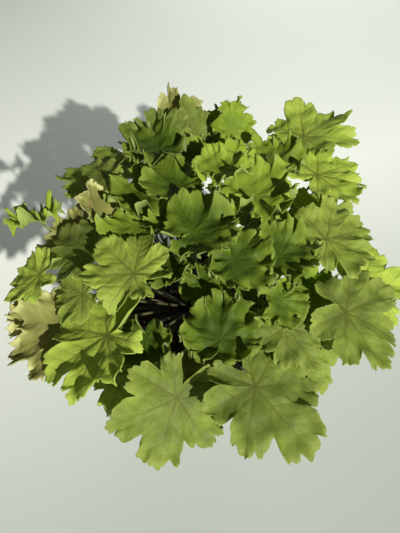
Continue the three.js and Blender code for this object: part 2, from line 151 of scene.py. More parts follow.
def floor_material():
    """Pale grey-green laminate, almost without texture, with painted light and shade: dark towards the front
    right and bright towards the back, for the fall of light across the floor.
    """
    material, tree, output = new_material("pale_laminate")
    place = node(tree, "TexCoord").outputs["Object"]
    across, along, _ = node(tree, "SeparateXYZ", {0: place}).outputs
    # Painted light and shade: the colour runs from dark grey at the front right to pale at the back, for the
    # fall of light across the floor, with faint soft patches over it.
    back = mask(tree, figure(tree, "MULTIPLY_ADD", across, -0.4, along), -0.45, 0.6)
    patches = figure(tree, "MULTIPLY_ADD", noise(tree, place, 1.2), 0.2, back)
    color = mixed(tree, patches, (0.195, 0.226, 0.212, 1), (0.93, 0.976, 0.886, 1))
    grain = bump(tree, noise(tree, place, 900), 0.0002, 0.3)
    skin = node(tree, "BsdfPrincipled", {"Base Color": color, "Roughness": 0.6, "Normal": grain})
    tree.links.new(skin.outputs[0], output.inputs[0])
    return material


FLOOR_REACH = 6.0
corners = np.array([(-1, -1, 0), (1, -1, 0), (1, 1, 0), (-1, 1, 0)]) * FLOOR_REACH
floor = new_object("floor", corners, [np.array([[0, 1, 2, 3]])], floor_material())

# ---- The pot -----------------------------------------------------------------------------------------
# A nursery pot, injection moulded in one piece from thin dark recycled plastic: a tapered wall with
# shallow ribs, a stiffening band under a rolled lip, and drain holes round a raised floor.

POT_HEIGHT = 0.135
RIM_RADIUS = 0.085
BASE_RADIUS = 0.062
WALL = 0.0018
BAND_DEPTH = 0.011
LIP_ROLL = 0.0032
LIP_ROUND = 0.0016
WALL_SLOPE = (RIM_RADIUS - LIP_ROLL - BASE_RADIUS) / POT_HEIGHT
FOOT_ROUND = 0.0015
FOOT_STEPS = 5
WALL_STEPS = 22
BAND_STEPS = 6
LIP_STEPS = 11
INSIDE_STEPS = 12
DISC_STEPS = 9
DISC_INSIDE = 0.006
DISC_OUTSIDE = 0.054
DRAINS = 8
DRAIN_RADIUS = 0.0045
DRAIN_RING = 0.046
DRAIN_SIDES = 32
DRAIN_CUT = (-0.003, 0.005)
RIBS = 24
RIB_HEIGHT = 0.0006
RIB_FOOT = 0.008
RIB_LENGTH = 0.1
POT_SIDES = 192
SLIVER = 1e-6


def ring_bearings(count):
    """Evenly spaced bearings round the full circle, in radians."""
    return np.arange(count) * 2 * np.pi / count


def grid_faces(rows, columns, start=0):
    """The four-cornered faces between the rows of a grid of points that closes round its columns."""
    row, column = np.meshgrid(np.arange(rows - 1), np.arange(columns), indexing="ij")
    here = row * columns + column
    beside = row * columns + (column + 1) % columns
    return np.stack([here, beside, beside + columns, here + columns], axis=-1).reshape(-1, 4) + start


def section(radius, height):
    """Points of a turned form's section, as rows of radius and height."""
    return np.stack(np.broadcast_arrays(radius, height), axis=1)


def wall_profile():
    """The pot's section as radius and height, from under the floor's edge, up the outside, over the lip
    and down the inside to the floor. The lip is a half round between the outer and the inner wall."""
    band_foot = POT_HEIGHT - BAND_DEPTH
    foot = np.linspace(-np.pi / 2, 0, FOOT_STEPS)
    rise = np.linspace(0.004, band_foot - 0.0025, WALL_STEPS)
    step = np.linspace(0, 1, BAND_STEPS)[1:]
    lip = np.linspace(0, np.pi, LIP_STEPS)
    fall = np.linspace(POT_HEIGHT - 0.004, WALL, INSIDE_STEPS)
    band = (LIP_ROLL - WALL_SLOPE * BAND_DEPTH * 0.4) * (1 - np.cos(np.pi * step)) / 2
    inner_lip = RIM_RADIUS - LIP_ROLL - WALL
    half = (RIM_RADIUS - inner_lip) / 2
    return np.concatenate([
        section(BASE_RADIUS - FOOT_ROUND * (1 - np.cos(foot)), FOOT_ROUND * (1 + np.sin(foot))),
        section(BASE_RADIUS + WALL_SLOPE * rise, rise),
        section(BASE_RADIUS + WALL_SLOPE * band_foot + band, band_foot - 0.002 + 0.003 * step),
        section(inner_lip + half + half * np.cos(lip), POT_HEIGHT - LIP_ROUND + LIP_ROUND * np.sin(lip)),
        section(BASE_RADIUS + WALL_SLOPE * fall - WALL, fall),
    ])


def turned(profile, bearings, ripple=0.0):
    """A profile of radius and height carried round the Z axis. ripple is added to the radius."""
    radius = profile[:, :1] + ripple
    height = np.broadcast_to(profile[:, 1:], (len(profile), len(bearings)))
    return np.stack([radius * np.cos(bearings), radius * np.sin(bearings), height], axis=-1).reshape(-1, 3)


def pot_material():
    """Dark plastic with faint flow streaks down the wall, and dust and soil near its lip and foot."""
    material, tree, output = new_material("dark_nursery_plastic")
    place = node(tree, "TexCoord").outputs["Object"]
    stretched = node(tree, "Mapping", {"Vector": place, "Scale": (1, 1, 0.12)}).outputs[0]
    streaks = noise(tree, stretched, 260, 4)
    height = node(tree, "SeparateXYZ", {0: place}).outputs[2]
    upper_dust = mask(tree, noise(tree, place, 90, 6), 0.42, 0.62)
    upper_dust = figure(tree, "MULTIPLY", mask(tree, height, 0.1, POT_HEIGHT), upper_dust)
    lower_dirt = mask(tree, noise(tree, place, 60, 5), 0.4, 0.6)
    lower_dirt = figure(tree, "MULTIPLY", mask(tree, height, 0.03, 0.0), lower_dirt)
    splashes = figure(tree, "MULTIPLY", mask(tree, noise(tree, place, 240, 2), 0.62, 0.68), 0.5)
    dirt = figure(tree, "MAXIMUM", figure(tree, "MAXIMUM", upper_dust, lower_dirt), splashes)
    plastic = mixed(tree, streaks, (0.012, 0.014, 0.013, 1), (0.024, 0.027, 0.025, 1))
    color = mixed(tree, figure(tree, "MULTIPLY", dirt, 0.55), plastic, (0.11, 0.085, 0.06, 1))
    rough = figure(tree, "MULTIPLY_ADD", dirt, 0.35, figure(tree, "MULTIPLY_ADD", streaks, 0.2, 0.3))
    grain = bump(tree, noise(tree, place, 1500, 2), 0.0002, 0.35)
    skin = node(tree, "BsdfPrincipled", {"Base Color": color, "Roughness": rough, "Normal": grain,
                                         "Specular IOR Level": 0.45})
    tree.links.new(skin.outputs[0], output.inputs[0])
    return material


def fan_faces(hub, ring, up=True):
    """The triangles from a hub to a closed ring of points that runs anticlockwise seen from above. They
    face up or down."""
    hubs, beside = np.full(len(ring), hub), np.roll(ring, -1)
    return np.stack([hubs, ring, beside] if up else [hubs, beside, ring], axis=1)


def make_pot():
    """The ribbed wall and the floor as one turned skin, through which the drain holes are bored."""
    around = ring_bearings(POT_SIDES)
    out = np.linspace(DISC_INSIDE, DISC_OUTSIDE, DISC_STEPS)
    profile = np.concatenate([section(out, 0.0), wall_profile(), section(out[::-1], WALL)])
    up_wall = np.clip((profile[:, 1] - RIB_FOOT) / RIB_LENGTH, 0, 1)
    ribbed = np.sin(up_wall * np.pi) * (np.arange(len(profile)) < DISC_STEPS + FOOT_STEPS + WALL_STEPS)
    ripple = RIB_HEIGHT * ribbed[:, None] * np.clip(np.cos(RIBS * around), 0, 1) ** 4
    points = np.concatenate([turned(profile, around, ripple), [[0, 0, 0], [0, 0, WALL]]])
    last = len(profile) * POT_SIDES
    ring = np.arange(POT_SIDES)
    faces = [grid_faces(len(profile), POT_SIDES), fan_faces(last, ring, up=False),
             fan_faces(last + 1, last - POT_SIDES + ring)]
    pot = new_object("nursery_pot", points, faces, pot_material())
    bores, bore_faces = [], []
    side = ring_bearings(DRAIN_SIDES)
    for drain in range(DRAINS):
        middle = (drain + 0.5) * 2 * np.pi / DRAINS
        x = DRAIN_RING * np.cos(middle) + DRAIN_RADIUS * np.cos(side)
        y = DRAIN_RING * np.sin(middle) + DRAIN_RADIUS * np.sin(side)
        start = len(bores) * DRAIN_SIDES
        for height in DRAIN_CUT:
            bores.append(np.stack([x, y, np.full(DRAIN_SIDES, height)], axis=1))
        ring = np.arange(DRAIN_SIDES) + start
        bore_faces.append(grid_faces(2, DRAIN_SIDES, start))
        bore_faces.extend([ring[None, ::-1], ring[None] + DRAIN_SIDES])
    cutter = new_object("bores", np.concatenate(bores), bore_faces, pot.data.materials[0])
    bored = pot.modifiers.new("bored", "BOOLEAN")
    bored.object = cutter
    bored.solver = "EXACT"
    cut = bpy.data.meshes.new_from_object(pot.evaluated_get(bpy.context.evaluated_depsgraph_get()))
    slivers = bmesh.new()
    slivers.from_mesh(cut)
    bmesh.ops.dissolve_degenerate(slivers, dist=SLIVER, edges=slivers.edges)
    slivers.to_mesh(cut)
    slivers.free()
    pot.modifiers.clear()
    pot.data = cut
    bpy.data.objects.remove(cutter)
    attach(pot, "root")
    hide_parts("pot")


make_pot()

# ---- The soil ----------------------------------------------------------------------------------------
# Moist peat with bark crumbs, fibres and a little perlite, pressed into the pot by hand and left a
# finger's width below the lip. It slopes down a little to the wall.

SOIL_TOP = 0.12
SOIL_DIP = 0.002
SOIL_LEVEL = 0.04
SOIL_SLOPE = 0.035
SOIL_GAP = 0.0003
SOIL_RINGS = 56
SOIL_SIDES = 160
LUMPS = ((0.0011, 0.011), (0.0006, 0.004), (0.0003, 0.0018))
LATTICE = 64
CRUMBS = 620
CRUMB_NEAREST = 0.019
CRUMB_FARTHEST = 0.074
CRUMB_RINGS = 3
CRUMB_SIDES = 7
PERLITE_SHARE = 0.05


def soft_noise(x, y, pitch, seed):
    """Smooth random heights from -1 to 1: random values on a square lattice of a pitch, eased between."""
    table = np.random.default_rng(seed).uniform(-1, 1, (LATTICE, LATTICE))
    column, row = np.floor(x / pitch).astype(int), np.floor(y / pitch).astype(int)
    across, along = x / pitch - column, y / pitch - row
    across, along = across * across * (3 - 2 * across), along * along * (3 - 2 * along)
    near, far = [table[line % LATTICE, column % LATTICE] * (1 - across)
                 + table[line % LATTICE, (column + 1) % LATTICE] * across for line in (row, row + 1)]
    return near * (1 - along) + far * along


def soil_height(x, y):
    """The soil's top: level round the crown, a little lower at the wall, and lumpy at three scales, each
    of a height and a pitch."""
    lumps = sum(height * soft_noise(x, y, pitch, seed)
                for seed, (height, pitch) in enumerate(LUMPS, start=1))
    down = np.clip((np.hypot(x, y) - SOIL_LEVEL) / SOIL_SLOPE, 0, 1)
    return SOIL_TOP - SOIL_DIP * down ** 2 + lumps


def soil_material():
    """Dark peat with paler fibres, and darker in its hollows, where colour and bumps follow the same noise.
    """
    material, tree, output = new_material("peat")
    place = node(tree, "TexCoord").outputs["Object"]
    clumps = noise(tree, place, 180, 8, 0.65)
    drawn_out = node(tree, "Mapping", {"Vector": place, "Scale": (1, 6, 1), "Rotation": (0, 0, 0.7)})
    fibres = mask(tree, noise(tree, drawn_out.outputs[0], 320, 4), 0.62, 0.72)
    color = mixed(tree, clumps, (0.008, 0.006, 0.004, 1), (0.055, 0.036, 0.022, 1))
    color = mixed(tree, figure(tree, "MULTIPLY", fibres, 0.6), color, (0.14, 0.095, 0.055, 1))
    skin = node(tree, "BsdfPrincipled", {"Base Color": color, "Roughness": 0.95, "Specular IOR Level": 0.2,
                                         "Normal": bump(tree, clumps, 0.002, 0.9)})
    tree.links.new(skin.outputs[0], output.inputs[0])
    return material


def make_soil():
    """The lumpy top as rings from the middle outward, then the plug's plain side and its flat underside."""
    wall = BASE_RADIUS + WALL_SLOPE * (SOIL_TOP - SOIL_DIP) - WALL - SOIL_GAP
    around = ring_bearings(SOIL_SIDES)
    radii = np.linspace(0, wall, SOIL_RINGS)[1:, None]
    x, y = radii * np.cos(around), radii * np.sin(around)
    top = np.stack([x, y, soil_height(x, y)], axis=-1).reshape(-1, 3)
    foot = BASE_RADIUS - WALL - SOIL_GAP
    low = WALL + SOIL_GAP
    side = turned(np.array([[foot, low], [foot * 0.5, low]]), around)
    rows = SOIL_RINGS + 1
    last = 1 + rows * SOIL_SIDES
    ring = 1 + np.arange(SOIL_SIDES)
    points = np.concatenate([[[0, 0, SOIL_TOP]], top, side, [[0, 0, low]]])
    faces = [fan_faces(0, ring), grid_faces(rows, SOIL_SIDES, 1)[:, ::-1],
             fan_faces(last, last - 1 - SOIL_SIDES + ring, up=False)]
    soil = new_object("peat_plug", points, faces, soil_material())
    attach(soil, "root")
    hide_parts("soil")


def ball(rings, sides):
    """A unit ball as rings of points between two poles, with its faces."""
    tilt = np.linspace(0, np.pi, rings + 2)[1:-1, None]
    around = ring_bearings(sides)
    height = np.broadcast_to(np.cos(tilt), (rings, sides))
    shell = np.stack([np.sin(tilt) * np.cos(around), np.sin(tilt) * np.sin(around), height], axis=-1)
    points = np.concatenate([[[0, 0, 1]], shell.reshape(-1, 3), [[0, 0, -1]]])
    ring = 1 + np.arange(sides)
    base = fan_faces(len(points) - 1, (rings - 1) * sides + ring, up=False)
    return points, fan_faces(0, ring), grid_faces(rings, sides, 1)[:, ::-1], base


def make_crumbs(name, count, seed, dark, pale, smallest, largest):
    """Crumbs that lie half sunk in the soil: one small ball, pinched and turned at random for each."""
    draw = np.random.default_rng(seed)
    points, *faces = ball(CRUMB_RINGS, CRUMB_SIDES)
    radius = np.sqrt(draw.uniform(CRUMB_NEAREST ** 2, CRUMB_FARTHEST ** 2, count))
    bearing = draw.uniform(0, 2 * np.pi, count)
    x, y = radius * np.cos(bearing), radius * np.sin(bearing)
    size = smallest + (largest - smallest) * draw.uniform(0, 1, (count, 1, 1)) ** 3
    pinched = 1 + 0.35 * draw.uniform(-1, 1, (count, len(points), 1))
    shape = points * pinched * draw.uniform(0.55, 1, (count, 1, 3))
    spin = draw.uniform(0, 2 * np.pi, (count, 1))
    turned_x = shape[..., 0] * np.cos(spin) - shape[..., 1] * np.sin(spin)
    turned_y = shape[..., 0] * np.sin(spin) + shape[..., 1] * np.cos(spin)
    spots = np.stack([x, y, soil_height(x, y)], 1)[:, None]
    placed = np.stack([turned_x, turned_y, shape[..., 2]], -1) * size + spots
    shift = (np.arange(count) * len(points))[:, None, None]
    material, tree, output = new_material(name)
    place = node(tree, "TexCoord").outputs["Object"]
    color = mixed(tree, noise(tree, place, 300, 4), dark, pale)
    grain = bump(tree, noise(tree, place, 1200), 0.0005, 0.7)
    skin = node(tree, "BsdfPrincipled", {"Base Color": color, "Roughness": 0.9, "Normal": grain})
    tree.links.new(skin.outputs[0], output.inputs[0])
    groups = [(group + shift).reshape(-1, group.shape[1]) for group in faces]
    crumbs = new_object(name, placed.reshape(-1, 3), groups, material)
    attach(crumbs, "root")


make_soil()
make_crumbs("bark_crumbs", CRUMBS, seed=5, dark=(0.02, 0.013, 0.008, 1), pale=(0.12, 0.075, 0.04, 1),
            smallest=0.0008, largest=0.0034)
make_crumbs("perlite", int(CRUMBS * PERLITE_SHARE), seed=6, dark=(0.42, 0.41, 0.38, 1),
            pale=(0.66, 0.65, 0.6, 1), smallest=0.0008, largest=0.0018)

# ---- The leaf blades ---------------------------------------------------------------------------------
# Living leaves of three kinds: broad full-grown ones, frilled ones of the centre, and old ones that
# turn olive. Each is a thin round blade of seven lobes with toothed, frilled edges, its veins sunk in
# the upper face, and it grows on the end of its own stalk.

LOBES = np.array([-142, -96, -48, 0, 48, 96, 142])
LOBE_REACHES = np.array([0.64, 0.79, 0.9, 1, 0.9, 0.79, 0.64])
SINUSES = np.array([-165, -119, -72, -24, 24, 72, 119, 165])
SINUS_REACHES = np.array([0.54, 0.58, 0.67, 0.71, 0.71, 0.67, 0.58, 0.54])
BASE_BEARING = 165
BASE_REACH = 0.16
UNEVENNESS = 0.1
LOBE_SKEW = 8
SOLID_THICKNESS = 0.00075
BLADE_THICKNESS = 0.0005
SMALL_LEAF = 0.039
SMALL_GRID = (14, 168)
LARGE_GRID = (19, 216)
SMALL_MIDPOINTS = 60
FINE_TEETH = 0.06
VEIN_SPACING = 48
VEIN_WIDTH = 0.03
SIDE_VEINS = 6.5
SIDE_SLANT = 0.85
SKIN_BULGE = 0.006
GROOVE_DEPTH = 0.003
MIDRIB = 0.006

# How near two sheets may come, and how their folds are eased where they cross
CLEARANCE = 0.0004
ROOM_ROUNDS = 14
ROOM_STEP = 0.26
ROOM_REACH = 0.045

# The form of each kind as shares of the blade's size, as in the solids, and then its finer frill
KINDS = {
    "broad_leaf": dict(
        droop=0.12, cup=0.04, fold=0.04, wave=0.04, ruffle=0.09, waves=5, fullness=0.93, teeth=0.12,
        frill=0.05, frills=11, tilt=0.1, curl=0, swell=0.045),
    "frilled_leaf": dict(
        droop=0.06, cup=0.24, fold=0.04, wave=0.05, ruffle=0.16, waves=6, fullness=1.1, teeth=0.09,
        frill=0.2, frills=10, tilt=0.18, curl=0.05, swell=0.075),
    "old_leaf": dict(
        droop=0.1, cup=0.16, fold=0.16, wave=0.04, ruffle=0.12, waves=4, fullness=1.04, teeth=0.1,
        frill=0.11, frills=11, tilt=0.12, curl=0.04, swell=0.04),
}


def seeded(seed):
    """A number from 0 to 1 that is always the same for the same seed."""
    return math.sin(seed * 12.9898) * 43758.5453 % 1.0


def lobe_of(bearing):
    """The lobe a bearing in degrees falls in, the sinus on its side of the lobe, and how far it is from
    the lobe's axis to that sinus."""
    lobe = np.clip(np.searchsorted(SINUSES, bearing, side="right") - 1, 0, len(LOBES) - 1)
    side = np.where(bearing < LOBES[lobe], lobe, lobe + 1)
    return lobe, side, np.abs(bearing - LOBES[lobe]) / np.abs(SINUSES[side] - LOBES[lobe])


def leaf_wave(seed, draw, waves, angle):
    """A wave round the blade, at angles in radians, whose place is drawn from the leaf's seed."""
    return np.sin(waves * angle + 2 * np.pi * seeded(seed + draw))


def outline(kind, seed, bearing):
    """How far a blade of size 1 reaches at a bearing: from each sinus to its lobe by a power curve, with
    teeth where a cosine peaks, and in to the stalk at the back. Two waves make some lobes longer."""
    lobe, side, along = lobe_of(bearing)
    base, tip = kind["fullness"] * SINUS_REACHES[side], LOBE_REACHES[lobe]
    tooth = np.abs(np.cos(1.5 * np.pi * along)) ** 0.6
    lobed = (base + (tip - base) * (1 - along ** 2.8)) * (1 - kind["teeth"] * (1 - tooth))
    share = (np.clip(np.abs(bearing) - BASE_BEARING, 0, None) / (180 - BASE_BEARING)) ** 0.7
    notch = kind["fullness"] * SINUS_REACHES[-1] * (1 - kind["teeth"]) * (1 - share) + BASE_REACH * share
    waves = leaf_wave(seed, 0.2, 2, np.radians(bearing)) + leaf_wave(seed, 0.7, 3, np.radians(bearing))
    return np.where(np.abs(bearing) >= BASE_BEARING, notch, lobed) * (1 + UNEVENNESS / 2 * waves)


def skewed(seed, bearing):
    """Where a bearing on the blade ends up, in radians, as its lobes stand a little unevenly round it."""
    angle = np.radians(bearing)
    return angle + math.radians(LOBE_SKEW) * leaf_wave(seed, 0.3, 1, angle)


def plain_height(kind, seed, bearing, share):
    """The height of the solid's blade of size 1 at a bearing and a share of the way to its edge: it
    droops, cups and folds as a whole, its lobes arch, and its edge is ruffled."""
    angle = np.radians(bearing)
    reach = share * outline(kind, seed, bearing)
    forward, aside = reach * np.cos(angle), reach * np.sin(angle)
    arch = np.where(np.abs(bearing) < BASE_BEARING, np.cos(np.pi * lobe_of(bearing)[2]), -1)
    swing = 0.65 + 0.35 * leaf_wave(seed, 0.5, 2, angle)
    ruffle = leaf_wave(seed, 0, kind["waves"], angle) * swing
    return (kind["cup"] * reach ** 2 - kind["droop"] * forward * np.abs(forward)
            + kind["fold"] * (np.hypot(aside, 0.1) - 0.1) - kind["wave"] * arch * share ** 2
            + kind["ruffle"] * ruffle * share ** 3)


def plain_blade(kind, seed, small):
    """The points that the solid's blade of size 1 passes through, midway between its two faces: rings of
    them at the edge and further in, with one or two between each sinus and lobe tip of the edge."""
    steps = [0.55] if small else [1 / 3, 2 / 3]
    low, high = SINUSES[:-1] - LOBES, SINUSES[1:] - LOBES
    between = [LOBES + step * side for step in steps for side in (low, high)]
    edge = np.concatenate([[180], SINUSES, LOBES, *between])
    middle = np.concatenate([[180], SINUSES, LOBES])
    inner = np.concatenate([[180], LOBES])
    rings = [(edge, 1), (middle, 0.5 if small else 0.62)] + ([] if small else [(inner, 0.28)])
    bearing = np.concatenate([ring for ring, _ in rings] + [[0]])
    share = np.concatenate([np.full(len(ring), part) for ring, part in rings] + [[0]])
    reach, angle = share * outline(kind, seed, bearing), skewed(seed, bearing)
    height = plain_height(kind, seed, bearing, share)
    return np.stack([reach * np.cos(angle), reach * np.sin(angle), height], axis=1)


def distances(points):
    """How far each point is from each other point, as a square table."""
    return np.linalg.norm(points[:, None] - points[None], axis=2)


def blade_pose(name, kind, seed):
    """Where a leaf's solid lies: its size, its turn as a matrix whose rows are forward, left and up, and
    the place of its stalk's end. The solid's two faces are paired off a thickness apart, each midpoint is
    matched with the plain blade's point that sees the others at the same distances, and the turn is the
    least squares fit of one set on the other."""
    mesh = frame["nodes"][name].data
    corners = np.zeros(len(mesh.vertices) * 3)
    mesh.vertices.foreach_get("co", corners)
    skin = np.unique(corners.reshape(-1, 3), axis=0)
    partner = np.abs(distances(skin) - SOLID_THICKNESS).argmin(axis=1)
    middle = np.unique(np.round((skin + skin[partner]) / 2, 7), axis=0)
    middle = middle[np.append(True, np.linalg.norm(np.diff(middle, axis=0), axis=1) > 1e-6)]
    plain = plain_blade(kind, seed, len(middle) < SMALL_MIDPOINTS)
    spread = [np.sqrt(((points - points.mean(0)) ** 2).sum(1).mean()) for points in (plain, middle)]
    size = spread[1] / spread[0]
    views = [np.sort(distances(points), axis=1) for points in (plain * size, middle)]
    match = middle[np.linalg.norm(views[0][:, None] - views[1][None], axis=2).argmin(axis=1)]
    a, b = plain - plain.mean(0), match - match.mean(0)
    u, _, v = np.linalg.svd(a.T @ b)
    turn = u @ np.diag([1, 1, np.sign(np.linalg.det(u @ v))]) @ v
    spot = match.mean(0) - size * plain.mean(0) @ turn
    return size, turn, spot


def near_vein(angle):
    """How far an angle lies from the nearest main vein of the blade, in radians."""
    half = math.radians(VEIN_SPACING / 2)
    return (angle + half) % (2 * half) - half


def fine_blade(kind, seed, rows, columns, room):
    """A blade of size 1 as rows of rings from near the stalk to the edge: the plain form, small teeth
    between the large ones, lobes that tilt and twist each by its own draw, an edge longer than its
    circle that folds up, down and sideways, soft swells, a groove along each main vein, and the skin
    between the side veins raised. room is how much of its tilts, folds and swells it has space for.
    Returns its points, its plan before its lobes are skewed, and the shares of the way out."""
    bearing = np.linspace(-180, 180, columns, endpoint=False)[None]
    share = (np.arange(1, rows + 1) / rows)[:, None] ** 0.85
    angle = np.radians(bearing)
    lobe, _, along = lobe_of(bearing)
    draws = [2 * np.pi * seeded(seed + part / 10) for part in range(1, 8)]
    teeth = np.abs(np.cos(4.5 * np.pi * along + 0.25 * np.sin(3 * angle + draws[0]))) ** 0.7 - 0.6
    teeth = np.where(np.abs(bearing) < BASE_BEARING, teeth, 0)
    reach = share * outline(kind, seed, bearing) * (1 + FINE_TEETH * teeth * share ** 8)
    x, y = reach * np.cos(angle), reach * np.sin(angle)
    tilt, twist = [np.sin(draws[part] + 2.4 * lobe) for part in (2, 5)]
    onto = np.clip(1 - along ** 2, 0, 1) * (np.abs(bearing) < BASE_BEARING)
    bent = tilt * onto + 1.3 * twist * onto * along * np.sign(bearing - LOBES[lobe])
    sway = 1.9 * np.sin(2 * angle + draws[2]) + 1.2 * np.sin(3 * angle + draws[3])
    fold = kind["frills"] * angle + draws[4] + sway
    frill = (np.sin(fold) * (0.6 + 0.5 * np.sin(5 * angle + draws[5])) * share ** 6
             + 0.5 * np.sin(2.2 * fold + draws[6]) * share ** 11)
    swell = np.sin(12 * x + 8 * y + draws[3]) * np.sin(11 * y - 6 * x + draws[1]) * share
    height = (plain_height(kind, seed, bearing, share)
              + room * (kind["tilt"] * bent * share ** 3.2 + kind["frill"] * frill
                        + kind["curl"] * share ** 6 + kind["swell"] * swell))
    near = near_vein(angle)
    beside, ahead = reach * np.abs(np.sin(near)), reach * np.cos(near)
    rib = np.abs(((ahead - SIDE_SLANT * beside) * SIDE_VEINS + 0.5) % 1 - 0.5) * 2
    bulge = np.clip(beside / 0.09, 0, 1) * np.clip(rib * 1.6, 0, 1) * np.clip((ahead - 0.1) / 0.2, 0, 1)
    groove = np.exp(-(beside / VEIN_WIDTH) ** 2) * (1 - share)
    height = height + SKIN_BULGE * bulge - GROOVE_DEPTH * groove
    side = room * reach * 0.6 * kind["frill"] * np.sin(2 * fold + draws[6] + 1.5) * share ** 6
    turned_by = skewed(seed, bearing)
    points = np.stack([reach * np.cos(turned_by) - side * np.sin(turned_by),
                       reach * np.sin(turned_by) + side * np.cos(turned_by), height], axis=-1)
    plan = np.stack([x, y, np.full_like(reach, seed)], axis=-1)
    return points, plan, np.broadcast_to(share, reach.shape)


def sheet_normals(points):
    """The upward unit normal at each point of a wrapped grid, from its steps along rows and columns."""
    outward = np.gradient(points, axis=0)
    around = np.roll(points, -1, axis=1) - np.roll(points, 1, axis=1)
    normal = np.cross(outward, around)
    return normal / np.linalg.norm(normal, axis=-1, keepdims=True)


def vein_group():
    """Shader group: how near a place on a blade is to a vein, and how far the skin bulges there. Main
    veins run from the stalk to the tips of the lobes, side veins leave them at a slant at even steps,
    and the smallest follow the borders of irregular cells."""
    group = bpy.data.node_groups.new("blade_veins", "ShaderNodeTree")
    group.interface.new_socket("Plan", in_out="INPUT", socket_type="NodeSocketVector")
    group.interface.new_socket("Vein", in_out="OUTPUT", socket_type="NodeSocketFloat")
    group.interface.new_socket("Bulge", in_out="OUTPUT", socket_type="NodeSocketFloat")
    entry, result = group.nodes.new("NodeGroupInput"), group.nodes.new("NodeGroupOutput")
    flat = entry.outputs[0]
    wander = node(group, "TexNoise", {"Vector": flat, "Scale": 5.0, "Detail": 2.0}).outputs["Color"]
    wander = node(group, "VectorMath", {0: wander, 1: (0.5, 0.5, 0.5)}, operation="SUBTRACT").outputs[0]
    wander = node(group, "VectorMath", {0: wander, "Scale": 0.06}, operation="SCALE").outputs[0]
    plan = node(group, "VectorMath", {0: flat, 1: wander}, operation="ADD").outputs[0]
    x, y, _ = node(group, "SeparateXYZ", {0: plan}).outputs
    squares = figure(group, "ADD", figure(group, "MULTIPLY", x, x), figure(group, "MULTIPLY", y, y))
    reach = figure(group, "SQRT", squares)
    half = math.radians(VEIN_SPACING / 2)
    near = figure(group, "WRAP", figure(group, "ARCTAN2", y, x), half, -half)
    beside = figure(group, "MULTIPLY", reach, figure(group, "ABSOLUTE", figure(group, "SINE", near)))
    ahead = figure(group, "MULTIPLY", reach, figure(group, "COSINE", near))
    width = figure(group, "MULTIPLY_ADD", reach, -0.017, 0.024)
    main = mask(group, figure(group, "DIVIDE", beside, width), 0.25, 1.0, 1.0, 0.0)
    slant = figure(group, "MULTIPLY_ADD", beside, -SIDE_SLANT, ahead)
    rib = figure(group, "PINGPONG", figure(group, "MULTIPLY", slant, SIDE_VEINS), 0.5)
    rib = figure(group, "MULTIPLY", rib, 2.0)
    side = figure(group, "MULTIPLY", mask(group, rib, 0.03, 0.2, 1.0, 0.0), mask(group, ahead, 0.12, 0.25))
    cells = node(group, "TexVoronoi", {"Vector": plan, "Scale": 15.0}, feature="DISTANCE_TO_EDGE")
    border = cells.outputs["Distance"]
    small = figure(group, "MULTIPLY", mask(group, border, 0.02, 0.1, 1.0, 0.0), 0.3)
    vein = figure(group, "MAXIMUM", main, figure(group, "MULTIPLY", side, 0.7))
    group.links.new(figure(group, "MAXIMUM", vein, small), result.inputs[0])
    bulge = figure(group, "MULTIPLY", mask(group, beside, 0.0, 0.06), mask(group, rib, 0.0, 0.6))
    bulge = figure(group, "MULTIPLY_ADD", mask(group, border, 0.0, 0.3), 0.5, bulge)
    group.links.new(bulge, result.inputs[1])
    return group


veins = vein_group()


